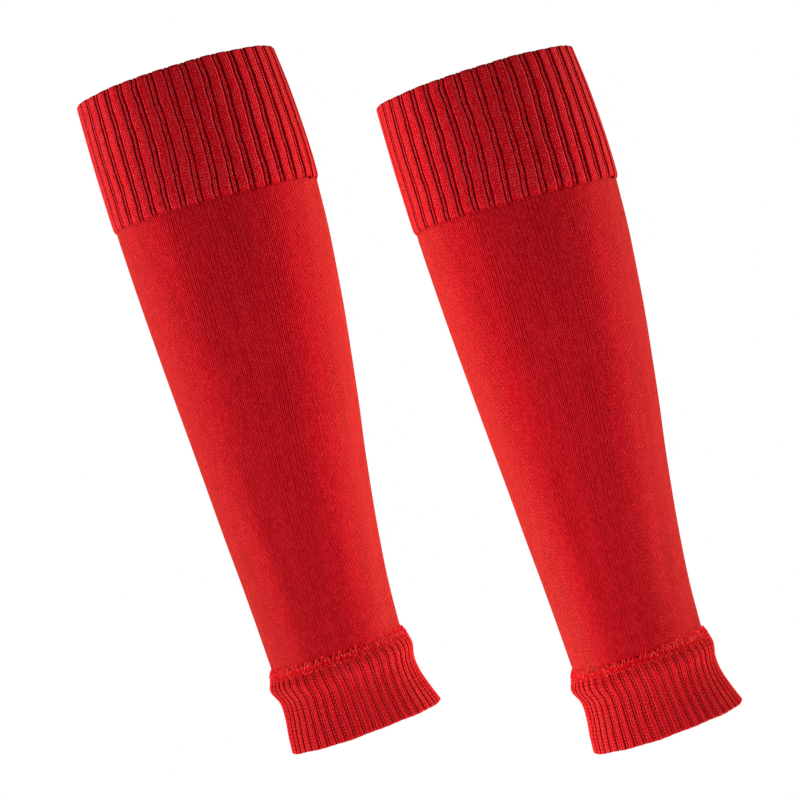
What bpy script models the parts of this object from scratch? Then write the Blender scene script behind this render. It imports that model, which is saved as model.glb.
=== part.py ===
"""A pair of footless knitted leg sleeves, filled out as if worn, with nobody in them.

Each sleeve is three knitted tubes linked end to end: a turned-over ribbed cuff at the calf, a plain
leg that narrows to the ankle, and a ribbed cuff at the ankle. The two sleeves stand side by side and
lean the same way. The origin lies midway between them, at the fullest part of the calf, where the
legs that wear them hold them up. +Z is up, +X runs from the left sleeve to the right one, and the
front of the pair faces -Y.
"""

import math
from collections import namedtuple

import bmesh
import bpy

MM = 0.001

# The pair
SLEEVE_SPACING = 160.2 * MM      # from one sleeve's axis to the other's
LEAN = math.radians(16.3)        # each sleeve's top leans towards -X
CALF_DOWN = 45.7 * MM            # from the top rim down to the origin's level
EDGE_STEP = 0.2 * MM             # a wall's inside ends this much short of its outside

# Thickness of the knitted walls. The pieces are linked end to end, with 0.3 mm between their walls.
WELT_WALL = 2.6 * MM             # top cuff: the fabric is turned over, so two layers
LEG_WALL = 1.2 * MM
ANKLE_WALL = 2.2 * MM

# Ribs that stand up from the two cuffs
WELT_REPEATS = 36                # one broad and one narrow rib each
WELT_GROOVE = 0.9 * MM           # depth
WELT_PHASE = math.radians(7.2)   # of the first narrow rib, from the front towards +X
ANKLE_RIBS = 48
ANKLE_GROOVE = 1.1 * MM
ANKLE_PHASE = 0.0                # of the first groove
RIM_RELIEF = 0.5                 # share of a groove's depth that is left on a rounded rim
SHARP_ANGLE = math.radians(50)   # an edge that turns further than this is drawn sharp

# Points round a plain ring
WELT_INSIDE_POINTS = 60
LEG_POINTS = 44
ANKLE_INSIDE_POINTS = 48

# A ring across the sleeve. down: from the top rim, along the sleeve. radius: outside, at the top of
# a rib. shift: of the ring's centre towards +X. lift: how far its +X side is tipped up. nod: how far
# its front is tipped down. turn: how far the ribs have wandered round towards +X. Millimetres and
# degrees.
Ring = namedtuple("Ring", "down radius shift lift nod turn")

WELT_RINGS = (
    Ring(down=0.5, radius=55.3, shift=-1.5, lift=1.1, nod=1.4, turn=0.0),
    Ring(down=18, radius=56.3, shift=-0.6, lift=0.5, nod=1.0, turn=-0.8),
    Ring(down=36, radius=56.9, shift=0.0, lift=0.3, nod=1.3, turn=-1.4),
    Ring(down=54, radius=57.1, shift=0.5, lift=0, nod=1.7, turn=-2.0),
    Ring(down=70.8, radius=56.9, shift=0.7, lift=-0.4, nod=2.0, turn=-2.9),
    Ring(down=72.4, radius=56.1, shift=0.7, lift=-0.4, nod=2.0, turn=-3.0),
)

LEG_RINGS = (
    Ring(down=72.7, radius=55.4, shift=0.6, lift=-0.4, nod=2.0, turn=0),
    Ring(down=98, radius=54.5, shift=0.6, lift=-0.2, nod=1.0, turn=0),
    Ring(down=122, radius=52.9, shift=0.2, lift=0, nod=0.5, turn=0),
    Ring(down=146, radius=51.0, shift=-0.3, lift=0, nod=0, turn=0),
    Ring(down=170, radius=48.7, shift=-1.1, lift=0, nod=0, turn=0),
    Ring(down=194, radius=46.3, shift=-2.0, lift=0, nod=0, turn=0),
    Ring(down=218, radius=43.7, shift=-3.1, lift=0, nod=0, turn=0),
    Ring(down=242, radius=41.3, shift=-3.9, lift=0, nod=0.5, turn=0),
    Ring(down=266, radius=39.0, shift=-4.3, lift=0.4, nod=1.0, turn=0),
    Ring(down=292, radius=37.1, shift=-4.5, lift=1.2, nod=1.6, turn=0),
    Ring(down=318.2, radius=36.0, shift=-4.2, lift=2.4, nod=2.3, turn=0),
)

# The ankle cuff swells just below its seam, and its rim opens out towards +X.
ANKLE_RINGS = (
    Ring(down=318.5, radius=36.2, shift=-4.1, lift=2.4, nod=2.3, turn=-2.0),
    Ring(down=320.6, radius=38.2, shift=-4.0, lift=2.6, nod=2.4, turn=-0.6),
    Ring(down=326.4, radius=40.0, shift=-4.2, lift=2.9, nod=2.7, turn=1.4),
    Ring(down=334, radius=37.8, shift=-3.1, lift=3.2, nod=3.1, turn=1.1),
    Ring(down=342.4, radius=38.1, shift=-2.5, lift=3.6, nod=3.6, turn=0.6),
    Ring(down=351, radius=39.9, shift=-1.6, lift=3.7, nod=3.6, turn=0.0),
    Ring(down=360, radius=41.9, shift=-0.1, lift=3.5, nod=2.5, turn=-0.9),
)

# Points of one repeat of the ribs. place: round the tube, as a share of the repeat. depth: below the
# top of the rib, as a share of the groove's depth.
RibPoint = namedtuple("RibPoint", "place depth")

WELT_RIB = (
    RibPoint(place=-0.14, depth=1.0),
    RibPoint(place=0.00, depth=0.3),
    RibPoint(place=0.14, depth=1.0),
    RibPoint(place=0.24, depth=0.0),
    RibPoint(place=0.76, depth=0.0),
)

ANKLE_RIB = (
    RibPoint(place=0.00, depth=1.0),
    RibPoint(place=0.27, depth=0.0),
    RibPoint(place=0.73, depth=0.0),
)


def clear_objects():
    for old in list(bpy.data.objects):
        bpy.data.objects.remove(old, do_unlink=True)


def knit_material(name, colour, roughness):
    material = bpy.data.materials.new(name)
    material.use_nodes = True
    shader = material.node_tree.nodes["Principled BSDF"]
    shader.inputs["Base Color"].default_value = (*colour, 1.0)
    shader.inputs["Roughness"].default_value = roughness
    shader.inputs["Metallic"].default_value = 0.0
    return material


def plain_points(count):
    """Even angles round a ring, each with no depth below the surface."""
    return [(math.tau * index / count, 0.0) for index in range(count)]


def rib_points(rib, repeats, groove, phase):
    """Angles round a ring, each with its depth below the top of the ribs."""
    step = math.tau / repeats
    return [
        (phase + step * (index + point.place), groove * point.depth)
        for index in range(repeats)
        for point in rib
    ]


def ring_edges(bm, ring, points, inset=0.0, drop=0.0, relief=1.0):
    """Add one ring of the wall, inset from its outside and moved down, and return its edges."""
    made = bmesh.ops.create_circle(bm, segments=len(points), radius=1.0)
    for vertex, (angle, depth) in zip(made["verts"], points):
        around = angle + math.radians(ring.turn)
        radius = ring.radius * MM - inset - depth * relief
        across = radius * math.sin(around)
        back = -radius * math.cos(around)
        tilt = across * math.tan(math.radians(ring.lift)) + back * math.tan(math.radians(ring.nod))
        vertex.co = (ring.shift * MM + across, back, CALF_DOWN - ring.down * MM - drop + tilt)
    return list({edge for vertex in made["verts"] for edge in vertex.link_edges})


def close_wall(bm, loops):
    """Bridge each loop to the next and the last to the first, with the faces pointing out."""
    for index, loop in enumerate(loops):
        bmesh.ops.bridge_loops(bm, edges=loops[index - 1] + loop)
    bmesh.ops.recalc_face_normals(bm, faces=bm.faces)


def finish_mesh(bm, name):
    mesh = bpy.data.meshes.new(name)
    bm.to_mesh(mesh)
    bm.free()
    mesh.shade_smooth()
    mesh.set_sharp_from_angle(angle=SHARP_ANGLE)
    return mesh


def welt_mesh():
    """The top cuff: a double wall with a rounded rim, ribs outside and a plain inside."""
    ribs = rib_points(WELT_RIB, WELT_REPEATS, WELT_GROOVE, WELT_PHASE)
    plain = plain_points(WELT_INSIDE_POINTS)
    top = WELT_RINGS[0]
    bm = bmesh.new()
    rim = ring_edges(bm, top, ribs, inset=WELT_WALL / 2, drop=-WELT_WALL / 2, relief=RIM_RELIEF)
    outside = [ring_edges(bm, ring, ribs) for ring in WELT_RINGS]
    inside = [ring_edges(bm, ring, plain, inset=WELT_WALL) for ring in (WELT_RINGS[2], top)]
    hem = ring_edges(bm, WELT_RINGS[-1], plain, inset=WELT_WALL, drop=-EDGE_STEP)
    close_wall(bm, [rim, *outside, hem, *inside])
    return finish_mesh(bm, "top_cuff")


def leg_mesh():
    """The leg: a single even wall that narrows from calf to ankle."""
    plain = plain_points(LEG_POINTS)
    bm = bmesh.new()
    outside = [ring_edges(bm, ring, plain) for ring in LEG_RINGS]
    bottom = ring_edges(bm, LEG_RINGS[-1], plain, inset=LEG_WALL, drop=-EDGE_STEP)
    inside = [ring_edges(bm, ring, plain, inset=LEG_WALL) for ring in LEG_RINGS[-2:0:-1]]
    top = ring_edges(bm, LEG_RINGS[0], plain, inset=LEG_WALL, drop=EDGE_STEP)
    close_wall(bm, [*outside, bottom, *inside, top])
    return finish_mesh(bm, "leg")


def ankle_mesh():
    """The ankle cuff: ribs outside, a plain inside and a rounded rim at the bottom."""
    ribs = rib_points(ANKLE_RIB, ANKLE_RIBS, ANKLE_GROOVE, ANKLE_PHASE)
    plain = plain_points(ANKLE_INSIDE_POINTS)
    bottom = ANKLE_RINGS[-1]
    inside_rings = (bottom, ANKLE_RINGS[4], ANKLE_RINGS[3], ANKLE_RINGS[2])
    bm = bmesh.new()
    outside = [ring_edges(bm, ring, ribs) for ring in ANKLE_RINGS]
    rim = ring_edges(bm, bottom, ribs, inset=ANKLE_WALL / 2, drop=ANKLE_WALL / 2, relief=RIM_RELIEF)
    inside = [ring_edges(bm, ring, plain, inset=ANKLE_WALL) for ring in inside_rings]
    seam = ring_edges(bm, ANKLE_RINGS[0], plain, inset=ANKLE_WALL, drop=EDGE_STEP)
    close_wall(bm, [*outside, rim, *inside, seam])
    return finish_mesh(bm, "ankle_cuff")


def add_sleeve(side, across, pieces):
    """Place one sleeve's three pieces under an empty that gives its stand and lean."""
    stand = bpy.data.objects.new(side + "_sleeve", None)
    stand.location = (across, 0.0, 0.0)
    stand.rotation_euler = (0.0, -LEAN, 0.0)
    bpy.context.collection.objects.link(stand)
    for piece, mesh in pieces.items():
        body = bpy.data.objects.new(side + "_" + piece, mesh)
        body.parent = stand
        bpy.context.collection.objects.link(body)


clear_objects()
sleeve_pieces = {"top_cuff": welt_mesh(), "leg": leg_mesh(), "bottom_cuff": ankle_mesh()}
sleeve_pieces["top_cuff"].materials.append(knit_material("red_welt_rib_knit", (0.50, 0.007, 0.012), 0.85))
sleeve_pieces["leg"].materials.append(knit_material("red_plain_knit", (0.56, 0.006, 0.010), 0.80))
sleeve_pieces["bottom_cuff"].materials.append(knit_material("red_ankle_rib_knit", (0.54, 0.008, 0.012), 0.85))
add_sleeve("left", -SLEEVE_SPACING / 2, sleeve_pieces)
add_sleeve("right", SLEEVE_SPACING / 2, sleeve_pieces)
bpy.context.view_layer.update()
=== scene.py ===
"""The looks of a pair of footless knitted leg sleeves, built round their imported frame.

Both sleeves are alike. Each is a turned-over ribbed cuff, a plain leg and a ribbed ankle cuff, knitted
on the same 144 needles from top to bottom and linked end to end. Sizes are in millimetres and degrees
until a mesh is placed, and angles round a sleeve run from its front towards +X.
"""

import math
from collections import namedtuple

import bmesh
import bpy
from mathutils import Matrix, Vector


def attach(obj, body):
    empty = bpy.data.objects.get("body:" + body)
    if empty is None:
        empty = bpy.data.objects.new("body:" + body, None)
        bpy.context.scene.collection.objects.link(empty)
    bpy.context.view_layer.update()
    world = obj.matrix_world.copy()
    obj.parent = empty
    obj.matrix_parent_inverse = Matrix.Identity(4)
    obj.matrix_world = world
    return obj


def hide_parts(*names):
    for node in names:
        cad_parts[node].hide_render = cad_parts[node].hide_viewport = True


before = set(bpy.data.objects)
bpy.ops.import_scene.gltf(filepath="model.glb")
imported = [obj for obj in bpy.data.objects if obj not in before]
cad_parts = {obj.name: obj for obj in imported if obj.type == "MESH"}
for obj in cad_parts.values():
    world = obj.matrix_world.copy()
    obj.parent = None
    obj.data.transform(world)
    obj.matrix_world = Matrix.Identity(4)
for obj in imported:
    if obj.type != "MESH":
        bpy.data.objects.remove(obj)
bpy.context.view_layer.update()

MM = 0.001


# The studio. An evenly lit white room with a round pale floor well below the sleeves, a soft box a little
# behind each side and a small weak one close in front, and a long lens just below the middle of the pair.
FLOOR_LEVEL = -0.8               # metres
FLOOR_RADIUS = 3.0
FLOOR_GLOW = 0.4                 # it is lit through from below
CAMERA_TARGET = Vector((0.0259, 0.0, -0.1287))
CAMERA_DISTANCE = 1.83
CAMERA_ELEVATION = math.radians(-2.5)
VIEW_WIDTH = 0.4272              # what the picture spans at the sleeves
SENSOR_WIDTH = 36.0
ROOM_LIGHT = 0.2                 # of the white that the room shows

# azimuth: 0 in front of the sleeves, 90 on the +X side. height: above the camera's target. distance: from
# it, seen from above. size: of the square soft box. power: in watts.
SoftBox = namedtuple("SoftBox", "name azimuth height distance size power casts_shadow")
SOFT_BOXES = (
    SoftBox("right_soft_box", azimuth=110, height=0.0, distance=1.8, size=0.7, power=42, casts_shadow=False),
    SoftBox("left_soft_box", azimuth=-110, height=-0.1, distance=1.8, size=0.7, power=39, casts_shadow=False),
    SoftBox("low_soft_box", azimuth=12, height=-0.22, distance=0.35, size=0.2, power=0.45, casts_shadow=True),
)


def add_node(tree, kind, inputs=None, **settings):
    """Add a node with its settings, and with a value or a link for each input named."""
    node = tree.nodes.new("ShaderNode" + kind)
    for setting, value in settings.items():
        setattr(node, setting, value)
    for socket, value in (inputs or {}).items():
        if isinstance(value, bpy.types.Node):
            value = value.outputs[0]
        if isinstance(value, bpy.types.NodeSocket):
            tree.links.new(value, node.inputs[socket])
        else:
            node.inputs[socket].default_value = value
    return node


room = bpy.data.worlds.new("white_room")
room.use_nodes = True
room.node_tree.nodes.clear()
lighting = add_node(room.node_tree, "Background", {"Color": (1, 1, 1, 1), "Strength": ROOM_LIGHT})
walls = add_node(room.node_tree, "Background", {"Color": (1, 1, 1, 1), "Strength": 1.0})
ray = add_node(room.node_tree, "LightPath")
seen = add_node(room.node_tree, "MixShader", {0: ray.outputs["Is Camera Ray"], 1: lighting, 2: walls})
add_node(room.node_tree, "OutputWorld", {"Surface": seen})
bpy.context.scene.world = room
bpy.context.scene.view_settings.view_transform = "Standard"

for soft_box in SOFT_BOXES:
    light = bpy.data.lights.new(soft_box.name, "AREA")
    light.size = soft_box.size
    light.energy = soft_box.power
    light.use_shadow = soft_box.casts_shadow
    azimuth = math.radians(soft_box.azimuth)
    offset = Vector((math.sin(azimuth), -math.cos(azimuth), 0)) * soft_box.distance
    lamp = bpy.data.objects.new(soft_box.name, light)
    lamp.location = CAMERA_TARGET + offset + Vector((0, 0, soft_box.height))
    lamp.rotation_euler = (CAMERA_TARGET - lamp.location).to_track_quat("-Z", "Y").to_euler()
    bpy.context.collection.objects.link(lamp)

lens = bpy.data.cameras.new("long_lens")
lens.sensor_width = SENSOR_WIDTH
lens.lens = SENSOR_WIDTH * CAMERA_DISTANCE / VIEW_WIDTH
camera = bpy.data.objects.new("camera", lens)
sight = Vector((0, math.cos(CAMERA_ELEVATION), -math.sin(CAMERA_ELEVATION)))
camera.location = CAMERA_TARGET - sight * CAMERA_DISTANCE
camera.rotation_euler = sight.to_track_quat("-Z", "Y").to_euler()
bpy.context.collection.objects.link(camera)
bpy.context.scene.camera = camera


def srgb(code):
    """An sRGB hex code as a linear colour."""
    parts = [int(code[place:place + 2], 16) / 255 for place in (1, 3, 5)]
    linear = [part / 12.92 if part <= 0.04045 else ((part + 0.055) / 1.055) ** 2.4 for part in parts]
    return (*linear, 1.0)


bm = bmesh.new()
bmesh.ops.create_circle(bm, cap_ends=True, segments=96, radius=FLOOR_RADIUS)
bmesh.ops.translate(bm, verts=bm.verts, vec=(0, 0, FLOOR_LEVEL))
floor_mesh = bpy.data.meshes.new("floor")
bm.to_mesh(floor_mesh)
bm.free()
floor = bpy.data.objects.new("floor", floor_mesh)
bpy.context.collection.objects.link(floor)
paint = bpy.data.materials.new("matt_white_paint")
paint.use_nodes = True
paint.node_tree.nodes["Principled BSDF"].inputs["Base Color"].default_value = srgb("#f2f1ef")
paint.node_tree.nodes["Principled BSDF"].inputs["Roughness"].default_value = 0.9
paint.node_tree.nodes["Principled BSDF"].inputs["Emission Color"].default_value = (1, 1, 1, 1)
paint.node_tree.nodes["Principled BSDF"].inputs["Emission Strength"].default_value = FLOOR_GLOW
floor_mesh.materials.append(paint)


# The top cuffs. Elastic rib knit turned over at the rim and linked back on itself: broad ribs of three
# wales and narrow ones of a single wale, parted by furrows where the black elastic yarn shows.
SLEEVE_SPACING = 160.2           # from one sleeve's axis to the other's
LEAN = 16.3                      # each sleeve's top leans towards -X
CALF_DOWN = 45.7                 # from the top rim down to the origin's level
NEEDLES = 144                    # so as many wales round each piece
WELT_WALL = 2.6                  # two layers
WELT_REPEATS = 36                # one broad and one narrow rib each
WELT_FURROW = 1.5                # depth
WELT_PHASE = 7.2                 # of the first narrow rib
WELT_COURSE = 0.8                # height of one row of stitches
FIBRE_SPACING = 1.1              # coarse enough to show

# The elastic beside a narrow rib, from its middle, as shares of the repeat: the furrow towards -X, and
# the wider one towards +X.
LEFT_ELASTIC = (0.085, 0.19)
RIGHT_ELASTIC = (0.085, 0.22)
FURROW_PLACE = 0.14              # of a furrow's bottom, counted in the same way
SHOULDER_PLACE = 0.23            # of the lit shoulder of the broad rib towards -X
CREASE_FADE = 0.6                # over which the painted shade of a linked edge fades out

# A ring across the sleeve. down: from the top rim, along the sleeve. radius: outside, at the top of
# a rib. shift: of the ring's centre towards +X. lift: how far its +X side is tipped up. nod: how far
# its front is tipped down. turn: how far the ribs have wandered round towards +X.
Ring = namedtuple("Ring", "down radius shift lift nod turn")
WELT_RINGS = (
    Ring(down=0.5, radius=55.3, shift=-1.5, lift=1.1, nod=1.4, turn=0.0),
    Ring(down=18, radius=56.3, shift=-0.6, lift=0.6, nod=1.1, turn=-0.8),
    Ring(down=36, radius=56.9, shift=0.0, lift=0.3, nod=1.3, turn=-1.4),
    Ring(down=54, radius=57.1, shift=0.5, lift=0, nod=1.7, turn=-2.0),
    Ring(down=70.6, radius=56.8, shift=0.7, lift=-0.4, nod=2.0, turn=-2.9),
    Ring(down=71.9, radius=56.1, shift=0.7, lift=-0.4, nod=2.0, turn=-2.9),
)

# Points of one repeat. place: round the tube, as a share of the repeat, from the middle of the narrow
# rib. depth: below the top of the broad rib, as a share of the furrow's depth.
RibPoint = namedtuple("RibPoint", "place depth")
WELT_HALF_RIB = (
    RibPoint(place=0.05, depth=0.28),
    RibPoint(place=0.085, depth=0.42),
    RibPoint(place=0.105, depth=0.85),
    RibPoint(place=0.14, depth=1.0),
    RibPoint(place=0.17, depth=0.85),
    RibPoint(place=0.19, depth=0.36),
    RibPoint(place=0.22, depth=0.18),
    RibPoint(place=0.27, depth=0.07),
    RibPoint(place=0.33, depth=0.02),
    RibPoint(place=0.38, depth=0.03),
    RibPoint(place=0.43, depth=0.0),
)
WELT_RIB = (
    RibPoint(place=0.0, depth=0.24),
    *WELT_HALF_RIB,
    RibPoint(place=0.5, depth=0.0),
    *(RibPoint(place=1 - point.place, depth=point.depth) for point in reversed(WELT_HALF_RIB)),
)

Column = namedtuple("Column", "angle depth wale")
Row = namedtuple("Row", "down inset relief crease course")


def slope(rings, index, field):
    """How much a field of the rings changes for each millimetre down."""
    before, after = rings[max(index - 1, 0)], rings[min(index + 1, len(rings) - 1)]
    return (after[field] - before[field]) / (after.down - before.down)


def ring_at(rings, down):
    """The ring at any distance down, on a smooth curve through the rings of the table."""
    down = min(max(down, rings[0].down), rings[-1].down)
    index = max(number for number, ring in enumerate(rings[:-1]) if ring.down <= down)
    start, end = rings[index], rings[index + 1]
    span = end.down - start.down
    t = (down - start.down) / span
    return Ring(*(
        (2 * t ** 3 - 3 * t ** 2 + 1) * start[field]
        + (t ** 3 - 2 * t ** 2 + t) * span * slope(rings, index, field)
        + (3 * t ** 2 - 2 * t ** 3) * end[field]
        + (t ** 3 - t ** 2) * span * slope(rings, index + 1, field)
        for field in range(len(start))
    ))


def rib_columns(rib, repeats, furrow, phase):
    """The lines that run down a ribbed tube, each with its depth below the top of the ribs."""
    step = 360 / repeats
    places = [(index + point.place, point.depth) for index in range(repeats) for point in rib]
    places.append((repeats, rib[0].depth))
    wales = NEEDLES / repeats
    return [Column(phase + step * place, furrow * depth, wales * place + 0.5) for place, depth in places]


def wall_rows(top, bottom, wall, course, steps, top_bulge, bottom_bulge, inside_relief, linked, tuck):
    """The lines that run round a wall: down the outside, round the bottom edge, up the inside and
    round the top edge, back to the first. The linked edge lies in a crease and takes painted shade, as far as
    its tuck."""
    down_outside, round_bottom, up_inside, round_top = steps
    rows = []
    for step in range(down_outside):
        rows.append((top + (bottom - top) * step / down_outside, 0.0))
    for step in range(round_bottom + 1):
        turn = math.pi * step / round_bottom
        rows.append((bottom + bottom_bulge * math.sin(turn), wall / 2 * (1 - math.cos(turn))))
    for step in range(1, up_inside):
        rows.append((bottom + (top - bottom) * step / up_inside, wall))
    for step in range(round_top + 1):
        turn = math.pi * step / round_top
        rows.append((top - top_bulge * math.sin(turn), wall / 2 * (1 + math.cos(turn))))
    path, made = 0.0, []
    for index, (down, inset) in enumerate(rows):
        path += math.dist(rows[index - 1], rows[index]) if index else 0.0
        inside = inset / wall
        from_link = down - top if linked == "top" else bottom - down
        crease = min(1.0, max(0.0, (tuck - from_link) / CREASE_FADE)) if inset < wall else 0.0
        made.append(Row(down, inset, 1 - inside * (1 - inside_relief), crease, path / course))
    return made


def knit_tube(name, rings, columns, rows, bend):
    """Roll a grid of columns and rows into a closed wall of knitting. Its UV map counts wales and
    courses, and its attribute says how much painted shade each point takes along a linked edge."""
    bm = bmesh.new()
    stitches = bm.loops.layers.uv.new("stitches")
    crease = bm.verts.layers.float.new("crease")
    bmesh.ops.create_grid(bm, x_segments=len(columns) - 1, y_segments=len(rows) - 1, size=0.5, calc_uvs=True)
    row_rings = [ring_at(rings, row.down) for row in rows]
    for vertex in bm.verts:
        column = columns[round((vertex.co.x + 0.5) * (len(columns) - 1))]
        row_number = round((vertex.co.y + 0.5) * (len(rows) - 1))
        row, ring = rows[row_number], row_rings[row_number]
        move = bend(column, row)
        around = math.radians(column.angle + ring.turn + move.round)
        radius = ring.radius - row.inset - column.depth * row.relief + move.out
        across = radius * math.sin(around)
        back = -radius * math.cos(around)
        tilt = across * math.tan(math.radians(ring.lift)) + back * math.tan(math.radians(ring.nod))
        vertex[crease] = row.crease
        vertex.co = (ring.shift + across, back, CALF_DOWN - row.down - move.down + tilt)
    for face in bm.faces:
        for loop in face.loops:
            across, along = loop[stitches].uv
            column = columns[round(across * (len(columns) - 1))]
            row = rows[round(along * (len(rows) - 1))]
            loop[stitches].uv = (column.wale, row.course)
    bmesh.ops.remove_doubles(bm, verts=bm.verts, dist=0.001)
    bmesh.ops.recalc_face_normals(bm, faces=bm.faces)
    for face in bm.faces:
        face.smooth = True
    return finished(bm, name)


def finished(bm, name):
    """A mesh, in metres, that stands as the left sleeve stands."""
    stand = Matrix.Translation((-SLEEVE_SPACING / 2, 0, 0)) @ Matrix.Rotation(-math.radians(LEAN), 4, "Y")
    bmesh.ops.transform(bm, matrix=Matrix.Scale(MM, 4) @ stand, verts=bm.verts)
    mesh = bpy.data.meshes.new(name)
    bm.to_mesh(mesh)
    bm.free()
    return mesh


def add_pair(name, mesh):
    """Show a piece on the left sleeve, and the same one on the right sleeve."""
    right_mesh = mesh.copy()
    right_mesh.transform(Matrix.Translation((SLEEVE_SPACING * MM, 0, 0)))
    pieces = []
    for side, side_mesh in (("left", mesh), ("right", right_mesh)):
        piece = bpy.data.objects.new(side + "_" + name, side_mesh)
        bpy.context.collection.objects.link(piece)
        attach(piece, "root")
        pieces.append((side, piece))
    return pieces


# round: degrees towards +X. out: away from the axis. down: along the sleeve.
Bend = namedtuple("Bend", "round out down")


def welt_bend(column, row):
    """Ribs that wander a little and crowd towards the front, and furrows that pull the edges up."""
    angle = math.radians(column.angle)
    crowd = -3.0 * math.sin(angle)
    sway = 0.45 * math.sin(2 * angle + row.down / 15) + 0.25 * math.sin(5 * angle - row.down / 8 + 1)
    sway += 0.12 * math.sin(9 * angle + row.down / 2.3) + 0.1 * math.sin(14 * angle - row.down / 3.1)
    rise = 0.25 * math.sin(7 * angle + 2) + 0.2 * math.sin(11 * angle)
    near_hem = max(0.0, 1 - (WELT_RINGS[-1].down - row.down) / 3)
    near_rim = max(0.0, 1 - row.down / 4)
    lifted = 0.45 * column.depth / WELT_FURROW
    down = near_rim * (lifted * 0.6 + 0.3 * rise) - near_hem * lifted
    return Bend(crowd + sway * (1 - near_rim), 0.0, down)


def knit_pattern(tree, slant, relief):
    """The parts of a knit surface: where each point is in wales and courses, how high it stands on its
    stitch, from 0 to 1, and a random number for each stitch. Each wale has two columns of strokes, the
    sides of its stitches, drawn two courses high because single courses are too fine to show. They
    are staggered as bricks are, a little unevenly. Slant is how many courses a stroke climbs across
    its column, and relief how deep it sinks at its ends."""
    coordinates = add_node(tree, "UVMap", uv_map="stitches")
    place = add_node(tree, "SeparateXYZ", {0: coordinates})
    drift = add_node(tree, "TexNoise", {"Vector": coordinates, "Scale": 0.11, "Detail": 1.0})
    wander = add_node(tree, "Math", {0: drift, 1: 0.4, 2: place.outputs["X"]}, operation="MULTIPLY_ADD")
    wale = add_node(tree, "Math", {0: wander, 1: 0.2}, operation="SUBTRACT")
    from_edge = add_node(tree, "Math", {0: wale, 1: 0.5}, operation="PINGPONG")
    sides = add_node(tree, "Math", {0: wale, 1: 2.0}, operation="MULTIPLY")
    side = add_node(tree, "Math", {0: sides}, operation="FLOOR")
    across = add_node(tree, "Math", {0: sides, 1: side}, operation="SUBTRACT")
    from_side = add_node(tree, "Math", {0: sides, 1: 0.5}, operation="PINGPONG")
    uneven = add_node(tree, "TexNoise", {"Vector": coordinates, "Scale": 0.5, "Detail": 1.0})
    slack = add_node(tree, "Math", {0: uneven, 1: 1.6, 2: place.outputs["Y"]}, operation="MULTIPLY_ADD")
    shuffle = add_node(tree, "TexWhiteNoise", {"W": side}, noise_dimensions="1D")
    shuffled = add_node(tree, "Math", {0: shuffle, 1: 0.6, 2: slack}, operation="MULTIPLY_ADD")
    stagger = add_node(tree, "Math", {0: side, 1: shuffled}, operation="ADD")
    climb = add_node(tree, "Math", {0: across, 1: slant, 2: stagger}, operation="MULTIPLY_ADD")
    pairs = add_node(tree, "Math", {0: climb, 1: 0.5}, operation="MULTIPLY")
    stitch = add_node(tree, "Math", {0: pairs}, operation="FLOOR")
    along = add_node(tree, "Math", {0: pairs, 1: 0.5}, operation="PINGPONG")
    bead = add_node(tree, "MapRange", {0: along, 2: 0.35, 3: 1 - relief}, interpolation_type="SMOOTHSTEP")
    stretch = add_node(tree, "VectorMath", {0: coordinates, 1: (0.22, 0.012, 0.0)}, operation="MULTIPLY")
    patches = add_node(tree, "TexNoise", {"Vector": stretch, "Scale": 1.0, "Detail": 2.0})
    closed = add_node(tree, "MapRange", {0: patches, 1: 0.4, 2: 0.6, 3: 0.05, 4: 0.85})
    strand = add_node(tree, "MapRange", {0: from_side, 2: 0.4, 3: 0.15}, interpolation_type="SMOOTHSTEP")
    gap = add_node(tree, "MapRange", {0: from_edge, 2: 0.2, 3: closed}, interpolation_type="SMOOTHSTEP")
    rounded = add_node(tree, "Math", {0: strand, 1: gap}, operation="MULTIPLY")
    height = add_node(tree, "Math", {0: rounded, 1: bead}, operation="MULTIPLY")
    number = add_node(tree, "CombineXYZ", {0: side, 1: stitch})
    chance = add_node(tree, "TexWhiteNoise", {"Vector": number}, noise_dimensions="2D")
    return place.outputs["X"], place.outputs["Y"], height, chance.outputs["Value"]


def knit_material(name, valley_shade, face, crest_highlight, crease, roughness, stitch_depth, slant, relief, least):
    """A matt knit of fine fuzzy yarn, with painted shade low in its stitches and painted highlights on their
    raised parts. Least is the share of the crest highlight colour on the dullest stitch. Painted shade lies
    along a linked edge. Returns the material, its shader, its pattern and its colour."""
    material = bpy.data.materials.new(name)
    material.use_nodes = True
    tree = material.node_tree
    shader = tree.nodes["Principled BSDF"]
    shader.inputs["Roughness"].default_value = roughness
    shader.inputs["Specular IOR Level"].default_value = 0.0
    shader.inputs["Sheen Weight"].default_value = 1.0
    shader.inputs["Sheen Roughness"].default_value = 0.27
    shader.inputs["Sheen Tint"].default_value = srgb("#ff7e62")
    pattern = knit_pattern(tree, slant, relief)
    _, _, height, chance = pattern
    # Painted shade low in each stitch and painted highlights on its raised parts, brighter on some stitches
    # at random.
    low = add_node(tree, "MapRange", {0: height, 2: 0.35})
    body = add_node(tree, "Mix", {"Factor": low, 6: srgb(valley_shade), 7: srgb(face)}, data_type="RGBA")
    some = add_node(tree, "MapRange", {0: chance, 3: least})
    lifted = add_node(tree, "Math", {0: height, 1: some}, operation="MULTIPLY")
    colour = add_node(tree, "Mix", {"Factor": lifted, 6: body.outputs[2], 7: srgb(crest_highlight)}, data_type="RGBA")
    colour = colour.outputs[2]
    # Painted shade along a linked edge, where it lies in its crease.
    tuck_shade_share = add_node(tree, "Attribute", attribute_name="crease").outputs["Fac"]
    shaded = add_node(tree, "Mix", {"Factor": tuck_shade_share, 6: colour, 7: srgb(crease)}, data_type="RGBA")
    bump = add_node(tree, "Bump", {"Height": height, "Distance": stitch_depth * MM, "Strength": 1.0})
    tree.links.new(bump.outputs["Normal"], shader.inputs["Normal"])
    return material, shader, pattern, shaded.outputs[2]
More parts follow.
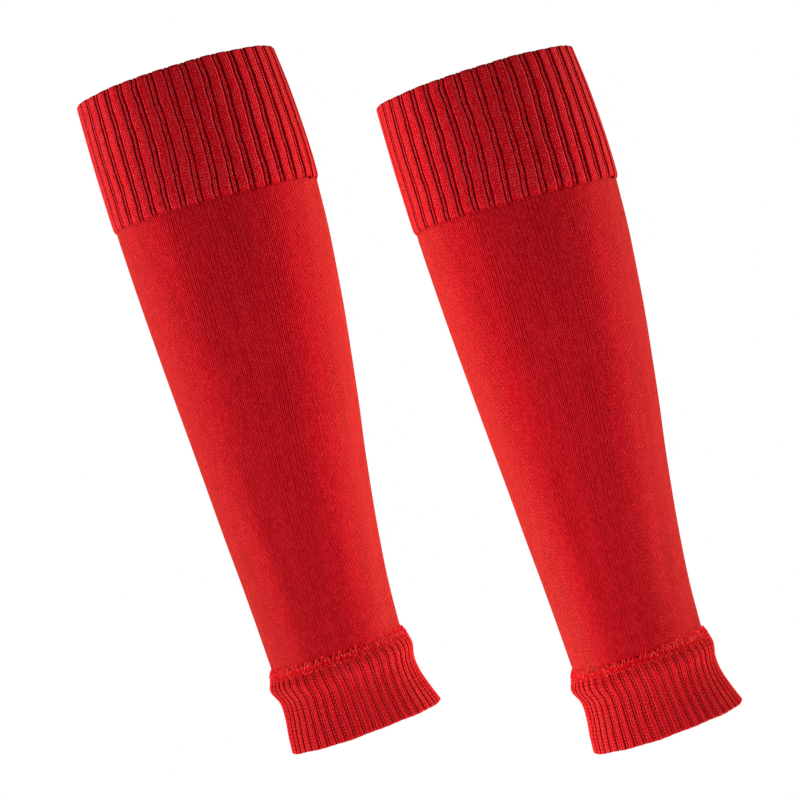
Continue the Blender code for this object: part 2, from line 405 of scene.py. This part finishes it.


# Rib knit of red nylon: matt, faintly fuzzy, with painted shade beside the furrows and on the narrow ribs.
rib_knit, rib_shader, rib_pattern, rib_colour = knit_material(
    "nylon_elastic_rib_knit", valley_shade="#a40008", face="#f2081a", crest_highlight="#ff4450", crease="#b40416",
    roughness=0.85, stitch_depth=0.25, slant=0.2, relief=0.9, least=0.15,
)
tree = rib_knit.node_tree
wale, _, _, chance = rib_pattern
repeat = add_node(tree, "Math", {0: wale, 1: 0.25, 2: -0.125}, operation="MULTIPLY_ADD")
from_rib = add_node(tree, "Math", {0: repeat, 1: 0.5, 2: -0.5}, operation="WRAP")
rib_side = add_node(tree, "Math", {0: from_rib}, operation="ABSOLUTE")
# Painted shade on the flanks of each furrow, its edge ragged at random.
from_furrow = add_node(tree, "Math", {0: rib_side, 1: FURROW_PLACE}, operation="SUBTRACT")
furrow_side = add_node(tree, "Math", {0: from_furrow}, operation="ABSOLUTE")
ragged = add_node(tree, "Math", {0: chance, 1: 0.012, 2: furrow_side}, operation="MULTIPLY_ADD")
flank_shade = add_node(tree, "MapRange", {0: ragged, 1: 0.08, 2: 0.05}, interpolation_type="SMOOTHSTEP")
# Painted shade on the sunk narrow ribs.
narrow = add_node(tree, "MapRange", {0: rib_side, 1: 0.12, 2: 0.09}, interpolation_type="SMOOTHSTEP")
narrow_rib_shade = add_node(tree, "MapRange", {0: narrow, 3: 1.0, 4: 0.92})
with_narrow_rib_shade = add_node(tree, "VectorMath", {0: rib_colour, "Scale": narrow_rib_shade}, operation="SCALE")
# A painted highlight along the lit shoulder of each broad rib towards -X.
from_shoulder = add_node(tree, "Math", {0: from_rib, 1: SHOULDER_PLACE}, operation="ADD")
shoulder_side = add_node(tree, "Math", {0: from_shoulder}, operation="ABSOLUTE")
shoulder_highlight = add_node(tree, "MapRange", {0: shoulder_side, 1: 0.06, 2: 0.01, 4: 0.4})
with_shoulder_highlight = add_node(tree, "Mix", {"Factor": shoulder_highlight, 6: with_narrow_rib_shade, 7: srgb("#ff4a54")}, data_type="RGBA")
shaded = add_node(tree, "Mix", {"Factor": flank_shade, 6: with_shoulder_highlight.outputs[2], 7: srgb("#6a000c")}, data_type="RGBA")
tree.links.new(shaded.outputs[2], rib_shader.inputs["Base Color"])


def bare_yarn(name, dark, light, spacing):
    """A dull smooth yarn, mottled between two colours at a spacing in millimetres."""
    material = bpy.data.materials.new(name)
    material.use_nodes = True
    tree = material.node_tree
    shader = tree.nodes["Principled BSDF"]
    shader.inputs["Roughness"].default_value = 0.85
    shader.inputs["Specular IOR Level"].default_value = 0.0
    coordinates = add_node(tree, "TexCoord").outputs["Object"]
    fibres = add_node(tree, "TexNoise", {"Vector": coordinates, "Scale": 1 / (spacing * MM), "Detail": 1.0})
    caught = add_node(tree, "MapRange", {0: fibres, 1: 0.42, 2: 0.65})
    colour = add_node(tree, "Mix", {"Factor": caught, 6: srgb(dark), 7: srgb(light)}, data_type="RGBA")
    tree.links.new(colour.outputs[2], shader.inputs["Base Color"])
    return material


# Black covered elastic: dull and dark, with a little of the red fibre caught in it.
elastic = bare_yarn("black_covered_elastic", dark="#300001", light="#920c18", spacing=FIBRE_SPACING)

welt_rows = wall_rows(
    top=WELT_RINGS[0].down, bottom=WELT_RINGS[-1].down, wall=WELT_WALL, course=WELT_COURSE,
    steps=(40, 6, 14, 8), top_bulge=WELT_WALL / 2, bottom_bulge=0.35, inside_relief=0.35,
    linked="bottom", tuck=0.8,
)
welt_columns = rib_columns(WELT_RIB, WELT_REPEATS, WELT_FURROW, WELT_PHASE)
welt_mesh = knit_tube("top_cuff_knit", WELT_RINGS, welt_columns, welt_rows, welt_bend)
welt_mesh.materials.append(rib_knit)
welt_mesh.materials.append(elastic)
welt_stitches = welt_mesh.uv_layers["stitches"].uv
for face in welt_mesh.polygons:
    middle_wale = sum(welt_stitches[corner].vector.x for corner in face.loop_indices) / face.loop_total
    from_rib = ((middle_wale - 0.5) * WELT_REPEATS / NEEDLES + 0.5) % 1 - 0.5
    if -LEFT_ELASTIC[1] < from_rib < -LEFT_ELASTIC[0] or RIGHT_ELASTIC[0] < from_rib < RIGHT_ELASTIC[1]:
        face.material_index = 1
for side, welt in add_pair("top_cuff_knit", welt_mesh):
    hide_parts(side + "_top_cuff")


# The cut end of the black elastic, which shows under each hem at one side.
END_ANGLE = 68                   # round the sleeve
END_DOWN = 72.2                  # from the top rim, so just below the hem
END_OUT = 0.3                    # from the cuff's surface
END_YARN = 1.0                   # thickness
END_CURL = 2.0                   # radius of its bend
END_TURN = 75                    # how far it bends
END_TIP = 60                     # how far the bend is tipped along the hem


def on_sleeve(rings, down, angle, out):
    """Where a point stands on the outside of a sleeve, with +X along the knit and -Y out of it."""
    ring = ring_at(rings, down)
    around = math.radians(angle)
    across = (ring.radius + out) * math.sin(around)
    back = -(ring.radius + out) * math.cos(around)
    tilt = across * math.tan(math.radians(ring.lift)) + back * math.tan(math.radians(ring.nod))
    place = Matrix.Translation((ring.shift + across, back, CALF_DOWN - down + tilt))
    return place @ Matrix.Rotation(around, 4, "Z")


bm = bmesh.new()
bmesh.ops.create_circle(bm, cap_ends=True, segments=8, radius=END_YARN / 2)
bmesh.ops.translate(bm, verts=bm.verts, vec=(END_CURL, 0, 0))
cut_end = [*bm.verts, *bm.edges, *bm.faces]
bmesh.ops.spin(bm, geom=cut_end, cent=(0, 0, 0), axis=(0, 1, 0), angle=math.radians(END_TURN), steps=6)
bmesh.ops.recalc_face_normals(bm, faces=bm.faces)
bmesh.ops.translate(bm, verts=bm.verts, vec=(-END_CURL, 0, 0))
place = on_sleeve(WELT_RINGS, END_DOWN, END_ANGLE, END_OUT) @ Matrix.Rotation(math.radians(END_TIP), 4, "Y")
bmesh.ops.transform(bm, matrix=place, verts=bm.verts)
end_mesh = finished(bm, "elastic_end")
end_mesh.materials.append(elastic)
for side, end in add_pair("elastic_end", end_mesh):
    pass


# The legs. Plain single knit, narrowing from calf to ankle as its stitches are made shorter.
LEG_WALL = 1.2
LEG_COURSE = 1.03                # height of one row of stitches
LEG_COLUMNS = 288                # two to each wale
LEG_RINGS = (
    Ring(down=70.8, radius=55.5, shift=0.7, lift=-0.4, nod=2.0, turn=0),
    Ring(down=76, radius=55.4, shift=0.6, lift=-0.4, nod=2.0, turn=0),
    Ring(down=98, radius=54.5, shift=0.6, lift=-0.2, nod=1.0, turn=0),
    Ring(down=122, radius=52.9, shift=0.2, lift=0, nod=0.5, turn=0),
    Ring(down=146, radius=51.0, shift=-0.3, lift=0, nod=0, turn=0),
    Ring(down=170, radius=48.7, shift=-1.1, lift=0, nod=0, turn=0),
    Ring(down=194, radius=46.3, shift=-2.0, lift=0, nod=0, turn=0),
    Ring(down=218, radius=43.7, shift=-3.1, lift=0, nod=0, turn=0),
    Ring(down=242, radius=41.3, shift=-3.9, lift=0, nod=0.5, turn=0),
    Ring(down=266, radius=39.0, shift=-4.3, lift=0.4, nod=1.0, turn=0),
    Ring(down=292, radius=37.1, shift=-4.5, lift=1.2, nod=1.6, turn=0),
    Ring(down=318.2, radius=36.0, shift=-4.2, lift=2.4, nod=2.3, turn=0),
)

# Where the cloth sinks a little, front and back. down and round: of the middle, in millimetres and
# degrees. long, wide: how far it reaches each way, along the leg and round it. tip: how far its lower
# end lies towards +X for each millimetre down.
Trough = namedtuple("Trough", "down round long wide tip depth")
TROUGHS = (
    Trough(down=96, round=-38, long=26, wide=9, tip=0.25, depth=0.35),
    Trough(down=150, round=22, long=40, wide=7, tip=-0.10, depth=0.30),
    Trough(down=232, round=-20, long=34, wide=8, tip=0.15, depth=0.30),
    Trough(down=290, round=34, long=20, wide=10, tip=-0.30, depth=0.35),
    Trough(down=112, round=152, long=30, wide=9, tip=-0.20, depth=0.40),
    Trough(down=196, round=196, long=44, wide=8, tip=0.12, depth=0.35),
    Trough(down=276, round=172, long=24, wide=10, tip=0.25, depth=0.40),
    Trough(down=170, round=98, long=36, wide=8, tip=0.10, depth=0.30),
    Trough(down=222, round=268, long=38, wide=8, tip=-0.12, depth=0.35),
)


def leg_bend(column, row):
    """The soft troughs of the leg."""
    out = 0.0
    for trough in TROUGHS:
        below = row.down - trough.down
        aside = (column.angle - trough.round - trough.tip * below + 180) % 360 - 180
        out -= trough.depth * math.exp(-(below / trough.long) ** 2 - (aside / trough.wide) ** 2)
    return Bend(0.0, out, 0.0)


# Single knit of red nylon: matt and smooth, a fine grain of V-shaped stitches in painted shade and highlight.
plain_knit, plain_shader, plain_pattern, plain_colour = knit_material(
    "nylon_plain_knit", valley_shade="#7a0002", face="#c20416", crest_highlight="#fa2c38", crease="#b00414",
    roughness=0.8, stitch_depth=0.3, slant=0.0, relief=0.5, least=0.4,
)
tree = plain_knit.node_tree
wale = plain_pattern[0]

# Its last stitches open in small holes between the loops of the ankle seam, drawn as painted shade.
tuck_shade_share = add_node(tree, "Attribute", attribute_name="crease").outputs["Fac"]
in_crease = add_node(tree, "MapRange", {0: tuck_shade_share, 1: 0.45, 2: 0.6})
from_hole = add_node(tree, "Math", {0: wale, 1: 1.0}, operation="PINGPONG")
in_line = add_node(tree, "MapRange", {0: from_hole, 1: 0.45, 2: 0.25}, interpolation_type="SMOOTHSTEP")
hole_shade = add_node(tree, "Math", {0: in_crease, 1: in_line}, operation="MULTIPLY")
with_hole_shade = add_node(tree, "Mix", {"Factor": hole_shade, 6: plain_colour, 7: srgb("#6c0006")}, data_type="RGBA")
tree.links.new(with_hole_shade.outputs[2], plain_shader.inputs["Base Color"])

leg_rows = wall_rows(
    top=LEG_RINGS[0].down, bottom=LEG_RINGS[-1].down, wall=LEG_WALL, course=LEG_COURSE,
    steps=(90, 4, 34, 4), top_bulge=0.0, bottom_bulge=0.0, inside_relief=1.0,
    linked="bottom", tuck=0.9,
)
leg_columns = [
    Column(360 * index / LEG_COLUMNS, 0.0, NEEDLES * index / LEG_COLUMNS) for index in range(LEG_COLUMNS + 1)
]
leg_mesh = knit_tube("leg_knit", LEG_RINGS, leg_columns, leg_rows, leg_bend)
leg_mesh.materials.append(plain_knit)
for side, leg in add_pair("leg_knit", leg_mesh):
    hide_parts(side + "_leg")


# The ankle cuffs. Rib knit of two plain wales and one sunk wale, which draws in below its seam and
# opens out to a soft edge.
ANKLE_WALL = 2.2
ANKLE_RIBS = 48
ANKLE_FURROW = 1.1               # depth
ANKLE_PHASE = 0.0                # of the first sunk wale
ANKLE_COURSE = 1.0               # height of one row of stitches
ANKLE_LINE = 0.16                # of the painted shade line beside a sunk wale, from its middle, as a share
FLAT_DOWN = 319.8                # where the ribs begin to sink in below the seam
SINK_LENGTH = 2.2                # over which they do
PURL_STEP = 1.6                  # courses from one purl dot to the next, coarse enough to show
LAID_IN = (-0.23, -0.11)         # the elastic, from the middle of a sunk wale, as shares of the repeat
LAID_IN_START = 2.5              # courses below the seam
ANKLE_RINGS = (
    Ring(down=318.5, radius=36.2, shift=-4.1, lift=2.4, nod=2.3, turn=-2.0),
    Ring(down=320.6, radius=38.2, shift=-4.0, lift=2.6, nod=2.4, turn=-0.6),
    Ring(down=326.4, radius=40.0, shift=-4.2, lift=2.9, nod=2.7, turn=1.4),
    Ring(down=334, radius=37.8, shift=-3.1, lift=3.2, nod=3.1, turn=1.1),
    Ring(down=342.4, radius=38.1, shift=-2.5, lift=3.6, nod=3.6, turn=0.6),
    Ring(down=351, radius=39.9, shift=-1.6, lift=3.7, nod=3.6, turn=0.0),
    Ring(down=360, radius=41.9, shift=-0.1, lift=3.5, nod=2.5, turn=-0.9),
)
ANKLE_HALF_RIB = (
    RibPoint(place=0.05, depth=0.62),
    RibPoint(place=0.10, depth=0.74),
    RibPoint(place=0.14, depth=1.0),
    RibPoint(place=0.18, depth=1.0),
    RibPoint(place=0.22, depth=0.55),
    RibPoint(place=0.27, depth=0.12),
    RibPoint(place=0.33, depth=0.0),
    RibPoint(place=0.39, depth=0.0),
    RibPoint(place=0.45, depth=0.14),
)
ANKLE_RIB = (
    RibPoint(place=0.0, depth=0.58),
    *ANKLE_HALF_RIB,
    RibPoint(place=0.5, depth=0.2),
    *(RibPoint(place=1 - point.place, depth=point.depth) for point in reversed(ANKLE_HALF_RIB)),
)


def ankle_bend(column, row):
    """Ribs that sway a little and only sink below the seam, and an edge that they pull up."""
    angle = math.radians(column.angle)
    sway = 0.5 * math.sin(3 * angle + row.down / 9) + 0.3 * math.sin(7 * angle - row.down / 7)
    below_seam = min(1.0, max(0.0, (row.down - FLAT_DOWN) / SINK_LENGTH))
    filled = column.depth * (1 - below_seam) * row.relief
    near_rim = max(0.0, 1 - (ANKLE_RINGS[-1].down - row.down) / 5)
    rise = 0.25 * math.sin(5 * angle) + 0.2 * math.sin(13 * angle + 1)
    return Bend(sway * below_seam, filled, -near_rim * (0.08 * column.depth + 0.5 * rise))


# Rib knit of red nylon: matt, its raised wales lighter than the sunk ones between them, which take painted
# shade.
ankle_knit, ankle_shader, ankle_pattern, ankle_colour = knit_material(
    "nylon_ankle_rib_knit", valley_shade="#980006", face="#f0061a", crest_highlight="#ff3840", crease="#d00e1a",
    roughness=0.85, stitch_depth=0.35, slant=0.3, relief=0.7, least=0.4,
)
tree = ankle_knit.node_tree
wale, course, _, _ = ankle_pattern
# Painted shade in a line beside each sunk wale and a fainter one down the middle of each raised rib, below
# the seam.
ribs = add_node(tree, "Math", {0: wale, 1: 1 / 3, 2: -1 / 6}, operation="MULTIPLY_ADD")
from_sunk = add_node(tree, "Math", {0: ribs, 1: 0.5}, operation="PINGPONG")
from_line = add_node(tree, "Math", {0: from_sunk, 1: ANKLE_LINE}, operation="SUBTRACT")
line_side = add_node(tree, "Math", {0: from_line}, operation="ABSOLUTE")
furrow = add_node(tree, "MapRange", {0: line_side, 1: 0.1, 2: 0.04}, interpolation_type="SMOOTHSTEP")
between = add_node(tree, "MapRange", {0: from_sunk, 1: 0.42, 2: 0.5, 4: 0.5}, interpolation_type="SMOOTHSTEP")
line = add_node(tree, "Math", {0: furrow, 1: between}, operation="MAXIMUM")
below_seam = add_node(tree, "MapRange", {0: course, 1: 1.5, 2: 3.5}, interpolation_type="SMOOTHSTEP")
dark = add_node(tree, "Math", {0: line, 1: below_seam}, operation="MULTIPLY")
shade = add_node(tree, "Mix", {"Factor": dark, 6: ankle_colour, 7: srgb("#7c0009")}, data_type="RGBA")
# Painted highlights on the purl dots down each sunk wale, with painted shade between them.
in_furrow = add_node(tree, "MapRange", {0: from_sunk, 1: 0.09, 2: 0.05}, interpolation_type="SMOOTHSTEP")
beside_dot = add_node(tree, "Math", {0: course, 1: PURL_STEP / 2}, operation="PINGPONG")
purl = add_node(tree, "MapRange", {0: beside_dot, 1: PURL_STEP * 0.2, 2: PURL_STEP * 0.4})
purl_highlights_and_shade = add_node(tree, "Mix", {"Factor": purl, 6: srgb("#e4303c"), 7: srgb("#90040e")}, data_type="RGBA")
sunk = add_node(tree, "Math", {0: in_furrow, 1: below_seam}, operation="MULTIPLY")
dotted = add_node(tree, "Mix", {"Factor": sunk, 6: shade.outputs[2], 7: purl_highlights_and_shade.outputs[2]}, data_type="RGBA")
tree.links.new(dotted.outputs[2], ankle_shader.inputs["Base Color"])

# Covered elastic of the same red, laid in on one side of each sunk wale: dull, with painted furrow shade.
shaded_laid_in = bare_yarn("red_covered_elastic_in_painted_shade", dark="#5c0005", light="#9c000c", spacing=FIBRE_SPACING)

ankle_rows = wall_rows(
    top=ANKLE_RINGS[0].down, bottom=ANKLE_RINGS[-1].down, wall=ANKLE_WALL, course=ANKLE_COURSE,
    steps=(34, 8, 14, 4), top_bulge=0.0, bottom_bulge=ANKLE_WALL / 2, inside_relief=0.3,
    linked="top", tuck=3.0,
)
ankle_columns = rib_columns(ANKLE_RIB, ANKLE_RIBS, ANKLE_FURROW, ANKLE_PHASE)
ankle_mesh = knit_tube("bottom_cuff_knit", ANKLE_RINGS, ankle_columns, ankle_rows, ankle_bend)
ankle_mesh.materials.append(ankle_knit)
ankle_mesh.materials.append(shaded_laid_in)
ankle_stitches = ankle_mesh.uv_layers["stitches"].uv
for face in ankle_mesh.polygons:
    corners = [ankle_stitches[corner].vector for corner in face.loop_indices]
    middle_wale = sum(corner.x for corner in corners) / len(corners)
    from_sunk = (middle_wale / 3 - 1 / 6 + 0.5) % 1 - 0.5
    if LAID_IN[0] < from_sunk < LAID_IN[1] and min(corner.y for corner in corners) > LAID_IN_START:
        face.material_index = 1
for side, ankle in add_pair("bottom_cuff_knit", ankle_mesh):
    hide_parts(side + "_bottom_cuff")


# The ankle seams. One red yarn links each ankle cuff to its leg: an upright loop through every second
# stitch of the leg, a small hole of painted shade beside it, and two rows of slanting stitches below the
# loops.
LOOPS = 72
LOOP_DOWN = 319.7                # the foot of the loops
LOOP_OUT = 0.8                   # of the middle of the yarn there, from the cuff's surface
LOOP_WIDTH = 2.2                 # between the middles of a loop's two legs, at the foot
LOOP_LEGS = 2.8                  # height of the straight part
LOOP_TAPER = 0.55                # how much narrower it is at the top, as a share
LOOP_LEAN = 25                   # with the swell of the cuff
LINKING_YARN = 0.55              # thickness
SLANTS = (320.6, 321.7)          # down, of two rows
SLANT_LENGTH = 2.4
SLANT_OUT = 0.1                  # of its middle, from the cuff's surface
SLANT_YARN = 0.45                # thickness
SLANT = 62                       # from upright, its upper end towards +X

# Twisted red nylon yarn: dull, a little lighter than the knit that it joins, darker between its plies.
PLY_SPACING = 2.0                # coarse enough to show
linking_yarn = bare_yarn("twisted_nylon_linking_yarn", dark="#d80e1e", light="#ff5056", spacing=PLY_SPACING)

loop = bmesh.new()
section = bmesh.ops.create_circle(loop, segments=6, radius=LINKING_YARN / 2)["verts"]
bmesh.ops.translate(loop, verts=section, vec=(LOOP_WIDTH / 2, 0, 0))
section_edges = list(loop.edges)
legs = bmesh.ops.extrude_edge_only(loop, edges=section_edges)["geom"]
leg_ends = [part for part in legs if isinstance(part, bmesh.types.BMVert)]
bmesh.ops.translate(loop, verts=leg_ends, vec=(0, 0, LOOP_LEGS))
top_edges = [part for part in legs if isinstance(part, bmesh.types.BMEdge)]
bmesh.ops.spin(loop, geom=top_edges, cent=(0, 0, LOOP_LEGS), axis=(0, 1, 0), angle=-math.pi / 2, steps=3)
half_loop = [*loop.verts, *loop.edges, *loop.faces]
bmesh.ops.mirror(loop, geom=half_loop, axis="X", merge_dist=0.01)
for vertex in loop.verts:
    vertex.co.x *= 1 - LOOP_TAPER * vertex.co.z / (LOOP_LEGS + LOOP_WIDTH / 2)
bmesh.ops.recalc_face_normals(loop, faces=loop.faces)
loop_mesh = bpy.data.meshes.new("loop")
loop.to_mesh(loop_mesh)
loop.free()

slant = bmesh.new()
bmesh.ops.create_uvsphere(slant, u_segments=6, v_segments=5, radius=0.5)
bmesh.ops.scale(slant, verts=slant.verts, vec=(SLANT_YARN, SLANT_YARN, SLANT_LENGTH))
bmesh.ops.rotate(slant, verts=slant.verts, matrix=Matrix.Rotation(math.radians(SLANT), 3, "Y"))
slant_mesh = bpy.data.meshes.new("slant")
slant.to_mesh(slant_mesh)
slant.free()

bm = bmesh.new()
for index in range(LOOPS):
    pull = math.sin(index * 2.4) + 0.6 * math.sin(index * 5.3 + 1)
    tip = 10 * math.sin(index * 4.1)
    stitches = [(loop_mesh, LOOP_DOWN - 0.3 * pull, LOOP_OUT, index + 0.5 + 0.1 * pull, tip)]
    for row, down in enumerate(SLANTS):
        stitches.append((slant_mesh, down + 0.15 * pull, SLANT_OUT, index + row / 3, 0))
    for stitch_mesh, down, out, step, tip in stitches:
        before = len(bm.verts)
        bm.from_mesh(stitch_mesh)
        bm.verts.ensure_lookup_table()
        place = on_sleeve(ANKLE_RINGS, down, 360 * step / LOOPS, out)
        place = place @ Matrix.Rotation(-math.radians(LOOP_LEAN), 4, "X")
        place = place @ Matrix.Rotation(math.radians(tip), 4, "Y")
        bmesh.ops.transform(bm, matrix=place, verts=bm.verts[before:])
for face in bm.faces:
    face.smooth = True
seam_mesh = finished(bm, "ankle_seam")
seam_mesh.materials.append(linking_yarn)
for side, seam in add_pair("ankle_seam", seam_mesh):
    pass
